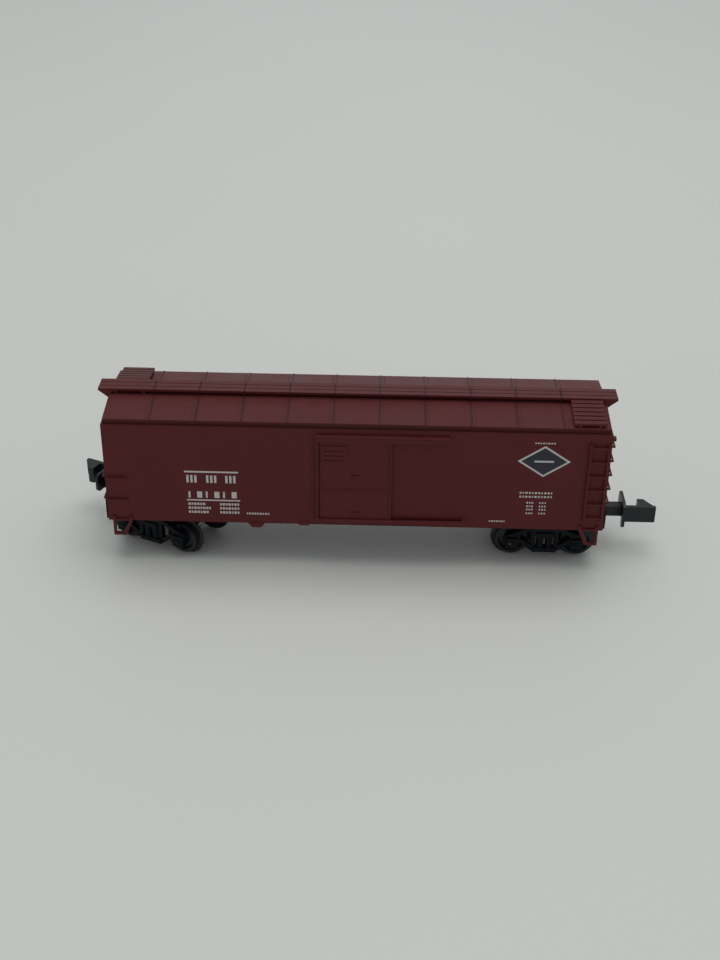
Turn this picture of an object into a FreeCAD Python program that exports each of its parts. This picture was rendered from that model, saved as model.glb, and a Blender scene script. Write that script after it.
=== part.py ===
"""Model box car on two four-wheel trucks, at 1:160.

The origin is on the floor under the middle of the car. +X runs along the car to the right,
+Y away from the near side, +Z up. Lengths are in millimetres.
"""

import FreeCAD, Part
import math
import os

import Sketcher
from FreeCAD import Vector

SIZES = {
    # body shell
    "body_length": 78.6,
    "body_width": 17.4,
    "sill_level": 7.5,
    "side_height": 17.24,
    "fascia_height": 0.86,
    "eave_inset": 0.33,
    "roof_rise": 1.1,
    "roof_end_inset": 0.3,
    "shell_wall": 0.8,
    "roof_wall": 0.7,
    "seam_margin": 7.44,
    "seam_count": 10,
    "seam_width": 0.24,
    "seam_height": 0.09,
    "end_rib_base": 4.9,
    "end_rib_margin": 1.4,
    "end_rib_count": 8,
    "end_rib_height": 0.75,
    "end_rib_depth": 0.3,
    # ladders, grab irons and stirrup steps
    "ladder_width": 3.1,
    "ladder_margin": 0.3,
    "ladder_base": 2.3,
    "ladder_drop": 2.34,
    "rung_count": 6,
    "rung_height": 0.26,
    "rung_depth": 0.24,
    "rung_standoff": 0.3,
    "stile_width": 0.32,
    "lug_drop": 0.5,
    "lug_height": 0.55,
    "lug_reach": 0.5,
    "lug_width": 0.8,
    "grab_width": 3.3,
    "step_width": 3.1,
    "step_drop": 2.6,
    "step_bar": 0.42,
    # doors
    "door_width": 11.24,
    "door_base": 1.15,
    "door_drop": 1.59,
    "door_lap": 0.8,
    "door_thickness": 0.35,
    "door_gap": 0.05,
    "door_travel": 10.9,
    "track_shelf": 0.3,
    "track_lip": 0.25,
    "track_overlap": 0.3,
    "track_short": 2.7,
    # running board
    "board_standoff": 0.3,
    "board_thickness": 0.4,
    "plank_width": 1.06,
    "plank_gap": 0.14,
    "plank_joint": 0.12,
    "board_overhang": 1.4,
    "lateral_width": 5.0,
    "lateral_inset": 1.0,
    "lateral_edge": 0.27,
    "lateral_lift": 0.36,
    "slat_count": 6,
    "slat_gap": 0.26,
    "board_peg_radius": 0.35,
    # underframe and weight
    "floor_level": 7.8,
    "floor_thickness": 1.0,
    "floor_gap": 0.05,
    "end_plate_gap": 0.06,
    "end_plate_depth": 0.35,
    "end_plate_width": 16.6,
    "end_notch_width": 13.2,
    "weight_length": 50.0,
    "weight_width": 11.0,
    "weight_thickness": 1.0,
    "weight_peg_radius": 0.8,
    "weight_peg_span": 40.0,
    # trucks
    "truck_inset": 8.7,
    "left_truck_yaw": -25.0,
    "right_truck_yaw": 0.0,
    "wheelbase": 10.5,
    "axle_level": 3.3,
    "tread_radius": 2.6,
    "flange_radius": 3.3,
    "flange_width": 0.5,
    "wheel_inside": 3.75,
    "wheel_width": 1.55,
    "axle_radius": 0.6,
    "axle_shoulder": 5.4,
    "axle_tip": 6.0,
    "bearing_gap": 0.05,
    "frame_inside": 5.5,
    "frame_thickness": 0.9,
    "frame_top": 6.2,
    "frame_bottom": 1.8,
    "journal_width": 1.9,
    "journal_proud": 0.4,
    "bolster_width": 3.0,
    "bolster_bottom": 4.6,
    "centre_plate_radius": 2.2,
    "centre_plate_level": 6.5,
    "pin_radius": 0.9,
    "pin_head_radius": 1.6,
    "pin_head_height": 0.6,
    "pin_gap": 0.06,
    # coupler box, coupler and spring
    "box_back": 5.4,
    "box_front": 8.6,
    "box_half_width": 1.9,
    "box_bottom": 4.9,
    "box_top": 7.6,
    "box_wall": 0.4,
    "cover_thickness": 0.35,
    "coupler_bottom": 5.4,
    "coupler_top": 7.2,
    "shank_half_width": 0.8,
    "tail_half_width": 1.3,
    "tail_back": 7.2,
    "tail_thickness": 0.7,
    "coupler_gap": 0.15,
    "guard_front": 13.3,
    "guard_thickness": 0.45,
    "guard_half_width": 2.6,
    "guard_top": 8.5,
    "guard_bottom": 4.1,
    "hook_tip": 18.15,
    "hook_side": 2.4,
    "hook_wall": 0.65,
    "hook_inner": 15.4,
    "hook_reach": 0.3,
    "hook_top": 8.1,
    "hook_bottom": 5.3,
    "spring_radius": 0.6,
    "spring_wire": 0.22,
    "spring_turns": 4,
}


class Size:
    """A length with the spreadsheet formula that gives it, so that arithmetic keeps both."""

    def __init__(self, value, formula):
        self.value = float(value)
        self.formula = formula

    @staticmethod
    def of(other):
        if isinstance(other, Size):
            return other
        return Size(other, repr(float(other)))

    def __add__(self, other):
        other = Size.of(other)
        return Size(self.value + other.value, f"({self.formula} + {other.formula})")

    def __sub__(self, other):
        other = Size.of(other)
        return Size(self.value - other.value, f"({self.formula} - {other.formula})")

    def __mul__(self, other):
        other = Size.of(other)
        return Size(self.value * other.value, f"({self.formula} * {other.formula})")

    def __truediv__(self, other):
        other = Size.of(other)
        return Size(self.value / other.value, f"({self.formula} / {other.formula})")

    def __neg__(self):
        return Size(-self.value, f"(-1 * {self.formula})")

    def __radd__(self, other):
        return Size.of(other) + self

    def __rsub__(self, other):
        return Size.of(other) - self

    def __rmul__(self, other):
        return Size.of(other) * self


class Driving:
    """The driving dimensions as attributes, each tied to its cell in the sheet."""

    def __getattr__(self, name):
        return Size(SIZES[name], "Sizes." + name)


d = Driving()
doc = FreeCAD.newDocument("box_car")
sheet = doc.addObject("Spreadsheet::Sheet", "Sizes")
for row, (alias, number) in enumerate(SIZES.items(), start=1):
    sheet.set(f"A{row}", alias)
    sheet.set(f"B{row}", str(number))
    sheet.setAlias(f"B{row}", alias)
doc.recompute()


# ---------------------------------------------------------------- drawing helpers


def bind(item, prop, size):
    """Ties a property to its formula in the sheet."""
    size = Size.of(size)
    item.setExpression(prop, size.formula)


def new_body(name):
    body = doc.addObject("PartDesign::Body", name)
    body.Label = name
    return body


def sketch_on(body, name, role, offset):
    """A sketch on one of the body's origin planes, moved along the plane's normal."""
    plane = next(item for item in body.Origin.OriginFeatures if item.Role == role)
    sketch = body.newObject("Sketcher::SketchObject", name + "_sketch")
    sketch.AttachmentSupport = [(plane, "")]
    sketch.MapMode = "FlatFace"
    bind(sketch, "AttachmentOffset.Base.z", offset)
    return sketch


def hold(sketch, kind, geometry, point, size):
    """Fixes one coordinate of a point, measured from the sketch's origin."""
    size = Size.of(size)
    if abs(size.value) < 1e-9:
        axis = -2 if kind == "DistanceX" else -1
        sketch.addConstraint(Sketcher.Constraint("PointOnObject", geometry, point, axis))
        return
    if size.value > 0:
        rule = Sketcher.Constraint(kind, -1, 1, geometry, point, size.value)
    else:
        size = -size
        rule = Sketcher.Constraint(kind, geometry, point, -1, 1, size.value)
    index = sketch.addConstraint(rule)
    sketch.setExpression(f"Constraints[{index}]", size.formula)


def draw_polygon(sketch, points):
    count = len(points)
    corners = [Vector(Size.of(a).value, Size.of(b).value, 0) for a, b in points]
    first = sketch.GeometryCount
    for k in range(count):
        sketch.addGeometry(Part.LineSegment(corners[k], corners[(k + 1) % count]), False)
    for k in range(count):
        after = first + (k + 1) % count
        sketch.addConstraint(Sketcher.Constraint("Coincident", first + k, 2, after, 1))
    for k, (a, b) in enumerate(points):
        hold(sketch, "DistanceX", first + k, 1, a)
        hold(sketch, "DistanceY", first + k, 1, b)


def draw_circle(sketch, centre, radius):
    a, b = Size.of(centre[0]), Size.of(centre[1])
    circle = Part.Circle(Vector(a.value, b.value, 0), Vector(0, 0, 1), radius.value)
    geometry = sketch.addGeometry(circle, False)
    index = sketch.addConstraint(Sketcher.Constraint("Radius", geometry, radius.value))
    sketch.setExpression(f"Constraints[{index}]", radius.formula)
    hold(sketch, "DistanceX", geometry, 3, a)
    hold(sketch, "DistanceY", geometry, 3, b)


def extrude(body, name, role, low, high, cut, draw):
    """Pads or pockets an outline between two levels of the axis square to its plane."""
    low, high = Size.of(low), Size.of(high)
    faces_down = role == "XZ_Plane"
    start = high if cut != faces_down else low
    sketch = sketch_on(body, name, role, -start if faces_down else start)
    draw(sketch)
    kind = "PartDesign::Pocket" if cut else "PartDesign::Pad"
    feature = body.newObject(kind, name)
    feature.Profile = sketch
    bind(feature, "Length", high - low)
    sketch.Visibility = False
    return feature


def prisms(body, name, role, outlines, low, high, cut=False):
    """Extrudes several outlines at once; one inside another leaves a hole."""

    def draw(sketch):
        for points in outlines:
            draw_polygon(sketch, points)

    return extrude(body, name, role, low, high, cut, draw)


def prism(body, name, role, points, low, high, cut=False):
    return prisms(body, name, role, [points], low, high, cut)


def rods(body, name, role, centres, radius, low, high, cut=False):
    """Extrudes round bars or holes of one radius."""

    def draw(sketch):
        for centre in centres:
            draw_circle(sketch, centre, Size.of(radius))

    return extrude(body, name, role, low, high, cut, draw)


def rod(body, name, role, centre, radius, low, high, cut=False):
    return rods(body, name, role, [centre], radius, low, high, cut)


def span(a0, a1, b0, b1):
    """The four corners of a rectangle."""
    return [(a0, b0), (a1, b0), (a1, b1), (a0, b1)]


def block(body, name, x, y, z, cut=False):
    """A rectangular block between two limits on each axis."""
    return prism(body, name, "XY_Plane", span(*x, *y), *z, cut=cut)


def repeat(body, name, features, axis, pitch, count):
    """Copies features along a principal axis of the body."""
    line = next(item for item in body.Origin.OriginFeatures if item.Role == axis)
    pattern = body.newObject("PartDesign::LinearPattern", name)
    pattern.Originals = features
    pattern.Direction = (line, [""])
    pattern.Mode = "Spacing"
    bind(pattern, "Offset", pitch)
    bind(pattern, "Occurrences", count)
    body.Tip = pattern
    return pattern


def half_turn(body, name, features):
    """Repeats features, or the whole body, turned half a turn about the vertical axis."""
    upright = next(item for item in body.Origin.OriginFeatures if item.Role == "Z_Axis")
    if not features:
        doc.recompute()
    pattern = body.newObject("PartDesign::PolarPattern", name)
    if features:
        pattern.Originals = features
    else:
        pattern.TransformMode = "Whole shape"
    pattern.Axis = (upright, [""])
    pattern.Angle = 360
    pattern.Occurrences = 2
    body.Tip = pattern
    return pattern


def mirror(body, name, role):
    """Adds the whole body's mirror image about one of its origin planes."""
    plane = next(item for item in body.Origin.OriginFeatures if item.Role == role)
    doc.recompute()
    feature = body.newObject("PartDesign::Mirrored", name)
    feature.TransformMode = "Whole shape"
    feature.MirrorPlane = (plane, [""])
    body.Tip = feature
    return feature


def revolve(body, name, role, points, axis_role):
    """Turns an outline round a principal axis of the body."""
    sketch = sketch_on(body, name, role, 0)
    draw_polygon(sketch, points)
    axis = next(item for item in body.Origin.OriginFeatures if item.Role == axis_role)
    feature = body.newObject("PartDesign::Revolution", name)
    feature.Profile = sketch
    feature.ReferenceAxis = (axis, [""])
    feature.Angle = 360
    sketch.Visibility = False
    return feature


# ---------------------------------------------------------------- shared places

half_length = d.body_length / 2
half_width = d.body_width / 2
eave_level = d.sill_level + d.side_height
roof_edge = eave_level + d.fascia_height
roof_half = half_width - d.eave_inset
ridge = roof_edge + d.roof_rise
roof_end = half_length - d.roof_end_inset
first_seam = d.seam_margin - half_length
seam_pitch = (d.body_length - d.seam_margin * 2) / (d.seam_count - 1)
ladder_bottom = d.sill_level + d.ladder_base
rung_pitch = (d.side_height - d.ladder_base - d.ladder_drop) / (d.rung_count - 1)
door_level = d.sill_level + d.door_base
door_top = eave_level - d.door_drop
floor_top = d.floor_level + d.floor_thickness
inner_half = half_width - d.shell_wall
inner_end = half_length - d.shell_wall
door_inside = half_width + d.door_gap
door_outside = door_inside + d.door_thickness
lip_inside = door_outside + d.door_gap
lip_outside = lip_inside + d.track_lip
pin_half_span = half_length - d.truck_inset
boss_level = d.centre_plate_level + d.bearing_gap
boss_top = floor_top + 1.0
notch_half = d.end_notch_width / 2
board_under = ridge + d.board_standoff
board_level = board_under + d.board_thickness
lateral_reach = roof_half - d.lateral_edge
board_half = d.plank_width * 1.5 + d.plank_gap


def roof_at(y, lift):
    """Height over the roof's slope, for a distance from the middle of the car."""
    return ridge - d.roof_rise * Size.of(y) / roof_half + lift


# ---------------------------------------------------------------- body shell


def shell_box(body):
    """Sides and ends, the low pitched roof, and the hollow under them."""
    ceiling = roof_edge - d.roof_wall
    peak = ridge - d.roof_wall
    roof = [
        (-roof_half, eave_level - 0.2),
        (roof_half, eave_level - 0.2),
        (roof_half, roof_edge),
        (0, ridge),
        (-roof_half, roof_edge),
    ]
    hollow = [
        (-inner_half, d.sill_level - 0.5),
        (inner_half, d.sill_level - 0.5),
        (inner_half, ceiling),
        (0, peak),
        (-inner_half, ceiling),
    ]
    walls = span(-half_width, half_width, d.sill_level, eave_level)
    prism(body, "walls", "YZ_Plane", walls, -half_length, half_length)
    prism(body, "roof", "YZ_Plane", roof, -roof_end, roof_end)
    prism(body, "hollow", "YZ_Plane", hollow, -inner_end, inner_end, cut=True)
    doorway_half = d.door_width / 2 - d.door_lap
    side = span(-doorway_half, doorway_half, door_level + d.door_lap, door_top - d.door_lap)
    prism(body, "doorways", "XZ_Plane", side, -half_width - 1, half_width + 1, cut=True)
    block(
        body,
        "end_notches",
        (-half_length - 1, half_length + 1),
        (-notch_half, notch_half),
        (d.sill_level - 1, floor_top),
        cut=True,
    )


def shell_roof(body):
    """Seam caps between the roof panels, and the holes for the running board's pegs."""
    cap = [
        (-roof_half, roof_edge - 0.1),
        (0, ridge - 0.1),
        (roof_half, roof_edge - 0.1),
        (roof_half, roof_edge + d.seam_height),
        (0, ridge + d.seam_height),
        (-roof_half, roof_edge + d.seam_height),
    ]
    left = first_seam - d.seam_width / 2
    seam = prism(body, "seam_cap", "YZ_Plane", cap, left, left + d.seam_width)
    repeat(body, "seam_caps", [seam], "X_Axis", seam_pitch, d.seam_count)
    centres = [(place, 0) for place in peg_places()]
    low = ridge - d.roof_wall - 0.5
    radius = d.board_peg_radius + d.door_gap
    rods(body, "peg_holes", "XY_Plane", centres, radius, low, ridge + 1, cut=True)


def peg_places():
    """Where the running board is pegged, under four of its saddles."""
    return [first_seam + seam_pitch * k for k in (0, 3, 6, 9)]


def shell_track(body):
    """Door guides with their lips, on the near side: the upper one is shorter, the lower one has the stop."""
    left = -d.door_width / 2 - 0.55
    right = d.door_width / 2 + d.door_travel + 0.6
    upper_right = right - d.track_short
    stop = left + 0.4
    wall = -half_width + 0.2
    under = door_level - d.door_gap
    over = door_top + d.door_gap
    bottom = under - d.track_shelf
    top = over + 2 * d.track_shelf
    guides = [
        (left, bottom),
        (right, bottom),
        (right, under + 0.7),
        (right - 0.4, under + 0.7),
        (right - 0.4, under),
        (stop, under),
        (stop, over),
        (upper_right, over),
        (upper_right, top),
        (left, top),
    ]
    lips = [
        span(left, right, bottom, door_level + d.track_overlap),
        span(left, upper_right, door_top - d.track_overlap, top),
    ]
    prism(body, "guides", "XZ_Plane", guides, -lip_outside, wall)
    prisms(body, "lips", "XZ_Plane", lips, -lip_outside, -lip_inside)


def rung_levels(count):
    """Heights of the ladders' rungs, from the top one down."""
    return [ladder_bottom + rung_pitch * (SIZES["rung_count"] - 1 - k) for k in range(count)]


def shell_ladders(body):
    """Side ladder, end rungs and eave lug at the right-hand corner of the near side."""
    outer = half_length - d.ladder_margin
    inner = outer - d.ladder_width
    near = -half_width
    back = near - d.rung_standoff
    front = back - d.rung_depth
    high = ladder_bottom + rung_pitch * (d.rung_count - 1) + d.rung_height + 0.5
    low = ladder_bottom - 0.5
    stiles = [
        span(inner, inner + d.stile_width, low, high),
        span(outer - d.stile_width, outer, low, high),
    ]
    rungs = []
    for level in rung_levels(SIZES["rung_count"]):
        rungs.append(span(inner + 0.1, outer - 0.1, level, level + d.rung_height))
    near_edge = near + d.ladder_margin
    far_edge = near_edge + d.ladder_width
    end_feet = []
    end_rungs = []
    for level in rung_levels(SIZES["rung_count"] - 1):
        top = level + d.rung_height
        end_feet.append(span(near_edge, near_edge + d.stile_width, level, top))
        end_feet.append(span(far_edge - d.stile_width, far_edge, level, top))
        end_rungs.append(span(near_edge + 0.1, far_edge - 0.1, level, top))
    face = half_length
    end_back = face + d.rung_standoff
    end_front = end_back + d.rung_depth
    lug = (eave_level - d.lug_drop - d.lug_height, eave_level - d.lug_drop)
    prisms(body, "side_stiles", "XZ_Plane", stiles, front, near + 0.2)
    prisms(body, "side_rungs", "XZ_Plane", rungs, front, back)
    prisms(body, "end_feet", "YZ_Plane", end_feet, face - 0.2, end_front)
    prisms(body, "end_rungs", "YZ_Plane", end_rungs, end_back, end_front)
    block(body, "corner_lug", (face - 0.2, face + d.lug_reach), (near, near + d.lug_width), lug)


def grab_levels():
    """Heights of the two grab irons at a corner with no ladder."""
    return [ladder_bottom + rung_pitch * share for share in (0.58, 2.14)]


def shell_grabs(body):
    """Two grab irons at the left-hand corner of the near side, and two round the corner."""
    feet = []
    bars = []
    end_feet = []
    end_bars = []
    x0 = -half_length + 0.1
    x1 = x0 + d.grab_width
    y0 = -half_width + d.ladder_margin
    y1 = y0 + d.ladder_width
    foot = d.stile_width
    for level in grab_levels():
        top = level + d.rung_height
        feet += [span(x0, x0 + foot, level, top), span(x1 - foot, x1, level, top)]
        bars.append(span(x0 + 0.1, x1 - 0.1, level, top))
        end_feet += [span(y0, y0 + foot, level, top), span(y1 - foot, y1, level, top)]
        end_bars.append(span(y0 + 0.1, y1 - 0.1, level, top))
    near = -half_width
    back = near - d.rung_standoff
    front = back - d.rung_depth
    face = -half_length
    end_back = face - d.rung_standoff
    end_front = end_back - d.rung_depth
    prisms(body, "grab_feet", "XZ_Plane", feet, front, near + 0.2)
    prisms(body, "grab_bars", "XZ_Plane", bars, front, back)
    prisms(body, "end_grab_feet", "YZ_Plane", end_feet, end_front, face + 0.2)
    prisms(body, "end_grab_bars", "YZ_Plane", end_bars, end_front, end_back)


def step_outline(sign):
    """A stirrup step, open in the middle; its outer leg is upright and its inner one slants."""
    outer = half_length - 0.75
    top_inner = outer - d.step_width
    foot_inner = top_inner + d.step_width * 0.37
    low = d.sill_level - d.step_drop
    high = d.sill_level + 0.9
    bar = d.step_bar
    outline = [
        (outer, high),
        (outer, low),
        (foot_inner, low),
        (top_inner, d.sill_level),
        (top_inner, high),
        (top_inner + bar, high),
        (top_inner + bar, d.sill_level + 0.35),
        (outer - bar, d.sill_level + 0.35),
        (outer - bar, high),
    ]
    opening = [
        (top_inner + bar, d.sill_level + 0.05),
        (foot_inner + bar * 0.9, low + bar),
        (outer - bar, low + bar),
        (outer - bar, d.sill_level + 0.05),
    ]
    return [[(sign * a, b) for a, b in points] for points in (outline, opening)]


def shell_sill(body):
    """Stirrup steps at both corners, and two small tabs left of the door."""
    near = -half_width
    low = d.sill_level - 0.75
    tab = [
        (-17.1, d.sill_level + 0.1),
        (-16.4, low),
        (-15.0, low),
        (-14.3, d.sill_level + 0.1),
    ]
    pad = span(-8.95, -7.35, d.sill_level - 0.2, d.sill_level + 0.5)
    steps = step_outline(-1) + step_outline(1)
    prisms(body, "steps", "XZ_Plane", steps, near - 0.35, near + 0.15)
    prisms(body, "sill_tabs", "XZ_Plane", [tab, pad], near - 0.12, near + 0.4)


def shell_end_ribs(body):
    """Pressed ribs across the right-hand end, beside the ladder."""
    face = half_length
    low = d.sill_level + d.end_rib_base
    near = -half_width + d.ladder_margin + d.ladder_width + 0.3
    far = half_width - 0.9
    run = 0.6
    plan = [
        (face - 0.1, near),
        (face, near),
        (face + d.end_rib_depth, near + run),
        (face + d.end_rib_depth, far - run),
        (face, far),
        (face - 0.1, far),
    ]
    rib = prism(body, "end_rib", "XY_Plane", plan, low, low + d.end_rib_height)
    rise = eave_level - d.end_rib_margin - d.end_rib_height - low
    repeat(body, "end_ribs", [rib], "Z_Axis", rise / (d.end_rib_count - 1), d.end_rib_count)


def shell_catches(body):
    """Catches under the floor's edge and stops above it, inside the near wall."""
    wall = inner_half + 0.1
    reach = inner_half - 0.25
    plans = [span(x, x + 4, -wall, -reach) for x in (-18.0, 14.0)]
    under = (d.floor_level - d.floor_gap - 0.2, d.floor_level - d.floor_gap)
    above = (floor_top + d.floor_gap, floor_top + 0.8)
    prisms(body, "catches", "XY_Plane", plans, *under)
    prisms(body, "stops", "XY_Plane", plans, *above)


def make_body_shell():
    body = new_body("body_shell")
    shell_box(body)
    shell_roof(body)
    shell_track(body)
    shell_catches(body)
    shell_sill(body)
    shell_ladders(body)
    shell_grabs(body)
    shell_end_ribs(body)
    half_turn(body, "both_sides", [])
    return body


# ---------------------------------------------------------------- running board


def board_planks(body):
    """Three planks past both ends of the roof, with a butt joint over each seam cap."""
    reach = half_length + d.board_overhang
    step = d.plank_width + d.plank_gap
    planks = []
    for k in (-1, 0, 1):
        middle = step * k
        planks.append(span(-reach, reach, middle - d.plank_width / 2, middle + d.plank_width / 2))
    prisms(body, "planks", "XY_Plane", planks, board_under, board_level)
    across = (first_seam - d.plank_joint / 2, first_seam + d.plank_joint / 2)
    depth = (board_level - d.plank_joint, board_level + 1)
    joint = block(body, "joint", across, (-board_half - 1, board_half + 1), depth, cut=True)
    repeat(body, "joints", [joint], "X_Axis", seam_pitch, d.seam_count)


def saddle_section(lift):
    """A saddle's section: flat under the planks, and following the roof below."""
    top = board_under + 0.1
    return [
        (-board_half, top),
        (-board_half, roof_at(board_half, lift)),
        (0, ridge + lift),
        (board_half, roof_at(board_half, lift)),
        (board_half, top),
    ]


def board_saddles(body):
    """Saddles over the seam caps, pegs through the roof, and gussets at the right-hand end."""
    left = first_seam - d.seam_width / 2
    cap = saddle_section(d.seam_height)
    saddle = prism(body, "saddle", "YZ_Plane", cap, left, left + d.seam_width)
    repeat(body, "saddles", [saddle], "X_Axis", seam_pitch, d.seam_count)
    centres = [(place, 0) for place in peg_places()]
    low = ridge - d.roof_wall - 0.3
    rods(body, "pegs", "XY_Plane", centres, d.board_peg_radius, low, board_under + 0.1)
    reach = half_length + d.board_overhang
    prism(body, "end_saddle", "YZ_Plane", saddle_section(0), roof_end - 0.5, roof_end)
    web = [
        (roof_end, board_under + 0.1),
        (roof_end, roof_at(board_half, 0) - 0.75),
        (reach - 0.1, board_under),
        (reach - 0.1, board_under + 0.1),
    ]
    for name, y in (("near", -board_half), ("far", board_half - 0.35)):
        prism(body, f"gusset_{name}", "XZ_Plane", web, y, y + 0.35)


def lateral_slat(k):
    """Section of one slat of the lateral board, along the near slope of the roof."""
    start = board_half + 0.1
    pitch = (lateral_reach - start + d.slat_gap) / d.slat_count
    y0 = start + pitch * k
    y1 = y0 + pitch - d.slat_gap
    lift = d.lateral_lift
    return [
        (-y0, roof_at(y0, lift)),
        (-y0, roof_at(y0, lift + 0.35)),
        (-y1, roof_at(y1, lift + 0.35)),
        (-y1, roof_at(y1, lift)),
    ]


def board_lateral(body):
    """Slatted side board over the right-hand end of the near slope."""
    right = half_length - d.lateral_inset
    left = right - d.lateral_width
    reach = lateral_reach
    lift = d.lateral_lift
    slats = [lateral_slat(k) for k in range(SIZES["slat_count"])]
    prisms(body, "slats", "YZ_Plane", slats, left, right)
    inner = board_half - 0.5
    bar = [
        (-inner, roof_at(inner, lift - 0.12)),
        (-inner, roof_at(inner, lift + 0.25)),
        (-reach, roof_at(reach, lift + 0.25)),
        (-reach, roof_at(reach, lift - 0.12)),
    ]
    foot = [
        (-reach, roof_at(reach, lift + 0.1)),
        (-reach, roof_at(reach, 0)),
        (-reach + 0.35, roof_at(reach - 0.35, 0)),
        (-reach + 0.35, roof_at(reach, lift + 0.1)),
    ]
    for name, x in (("inner", left), ("outer", right - 0.55)):
        prism(body, f"bar_{name}", "YZ_Plane", bar, x, x + 0.55)
        prism(body, f"rest_{name}", "YZ_Plane", saddle_section(0), x, x + 0.55)
    for name, x in (("inner", left + 0.7), ("outer", right - 1.3)):
        prism(body, f"foot_{name}", "YZ_Plane", foot, x, x + 0.5)


def make_running_board():
    body = new_body("running_board")
    board_planks(body)
    board_saddles(body)
    board_lateral(body)
    half_turn(body, "both_ends", [])
    return body


# ---------------------------------------------------------------- doors


def make_door(name, turn):
    """A sliding door that hangs between the guides; the far one is turned round."""
    body = new_body(name)
    half = d.door_width / 2
    low = door_level
    high = door_top
    face = -door_outside
    relief = d.door_gap * 0.6
    block(body, "slab", (-half, half), (face, -door_inside), (low, high))
    inner_low = low + d.track_overlap + 0.1
    inner_high = high - d.track_overlap - 0.1
    proud = (face - 0.16, face + 0.1)
    block(body, "edge_strip", (half - 0.32, half), proud, (inner_low, inner_high))
    seam = low + 5.55
    placard_low = high - 3.95
    block(body, "seam", (-half + 0.3, half - 0.5), (face - 0.1, face + 0.1), (seam, seam + 0.25))
    board = (-half + 0.2, -half + 4.35)
    block(body, "placard", board, (face - 0.14, face + 0.1), (placard_low, placard_low + 2.87))
    slots = []
    for lift in (0.3, 1.1, 1.9):
        level = placard_low + lift
        slots.append(span(board[0] + 0.4, board[1] - 0.4, level, level + 0.24))
    prisms(body, "slots", "XZ_Plane", slots, face - 1, face - relief, cut=True)
    handles = [span(-0.7, 0.6, low + lift, low + lift + 0.22) for lift in (1.25, 8.0)]
    prisms(body, "handles", "XZ_Plane", handles, face - 0.22, face + 0.1)
    body.Placement = FreeCAD.Placement(Vector(0, 0, 0), Vector(0, 0, 1), turn)
    return body


# ---------------------------------------------------------------- underframe and weight


def make_underframe():
    body = new_body("underframe")
    edge = inner_half - d.floor_gap
    end = inner_end - d.floor_gap
    floor = (d.floor_level, floor_top)
    block(body, "floor", (-end, end), (-edge, edge), floor)
    half_notch = notch_half - d.floor_gap
    outer = half_length + d.end_plate_depth
    ends = [
        block(body, "end_tongue", (end - 0.5, half_length + 0.1), (-half_notch, half_notch), tongue()),
        block(
            body,
            "end_plate",
            (half_length, outer),
            (-d.end_plate_width / 2, d.end_plate_width / 2),
            (d.sill_level + 0.1, grab_levels()[0] - d.end_plate_gap),
        ),
    ]
    half_turn(body, "ends", ends)
    relief = [
        block(
            body,
            "coupler_relief",
            (end - 1.2, outer + 1),
            (-half_notch + 0.4, half_notch - 0.4),
            (d.sill_level - 1, d.floor_level + 0.25),
            cut=True,
        )
    ]
    half_turn(body, "coupler_reliefs", relief)
    sill = [
        (-22.0, d.floor_level + 0.1),
        (-22.0, d.floor_level - 0.8),
        (-17.0, d.floor_level - 1.9),
        (17.0, d.floor_level - 1.9),
        (22.0, d.floor_level - 0.8),
        (22.0, d.floor_level + 0.1),
    ]
    prism(body, "centre_sill", "XZ_Plane", sill, -1.4, 1.4)
    for k, x in enumerate((-15.0, -5.5, 5.5, 15.0)):
        bearer = [
            (-edge + 0.3, d.floor_level + 0.1),
            (-edge + 0.3, d.floor_level - 0.25),
            (-1.3, d.floor_level - 1.5),
            (1.3, d.floor_level - 1.5),
            (edge - 0.3, d.floor_level - 0.25),
            (edge - 0.3, d.floor_level + 0.1),
        ]
        prism(body, f"cross_bearer_{k}", "YZ_Plane", bearer, x - 0.3, x + 0.3)
    underframe_brake(body)
    underframe_bolsters(body, edge)
    for k, x in enumerate((-d.weight_peg_span / 2, d.weight_peg_span / 2)):
        top = floor_top + d.weight_thickness + 0.3
        rod(body, f"weight_peg_{k}", "XY_Plane", (x, 0), d.weight_peg_radius, floor_top - 0.1, top)
    return body


def tongue():
    """Height of the floor where it passes through the shell's end."""
    return (d.floor_level + 0.25, floor_top - d.floor_gap)


def underframe_brake(body):
    """Brake cylinder and air tank, moulded under the floor between the cross bearers."""
    top = d.floor_level - 0.9
    rod(body, "air_tank", "YZ_Plane", (4.4, top), Size.of(1.15), -3.6, 3.6)
    block(body, "tank_bracket", (-2.4, 2.4), (4.0, 4.8), (top, d.floor_level + 0.1))
    rod(body, "brake_cylinder", "YZ_Plane", (-4.4, top), Size.of(1.0), -13.5, -9.8)
    rod(body, "brake_cap", "YZ_Plane", (-4.4, top), Size.of(1.2), -10.4, -9.8)
    block(body, "brake_bracket", (-13.0, -10.5), (-4.8, -4.0), (top, d.floor_level + 0.1))


def underframe_bolsters(body, edge):
    """A body bolster over each truck, with the boss and bore that take its pin."""
    for name, x in (("left", -pin_half_span), ("right", pin_half_span)):
        section = [
            (-edge + 0.4, d.floor_level + 0.1),
            (-edge + 0.4, d.floor_level - 0.3),
            (-2.4, d.floor_level - 0.9),
            (2.4, d.floor_level - 0.9),
            (edge - 0.4, d.floor_level - 0.3),
            (edge - 0.4, d.floor_level + 0.1),
        ]
        prism(body, f"{name}_bolster", "YZ_Plane", section, x - 1.1, x + 1.1)
        boss = d.centre_plate_radius - 0.2
        rod(body, f"{name}_boss", "XY_Plane", (x, 0), boss, boss_level, boss_top)
        rod(
            body,
            f"{name}_bore",
            "XY_Plane",
            (x, 0),
            d.pin_radius,
            boss_level - 1,
            boss_top + 1,
            cut=True,
        )


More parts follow.
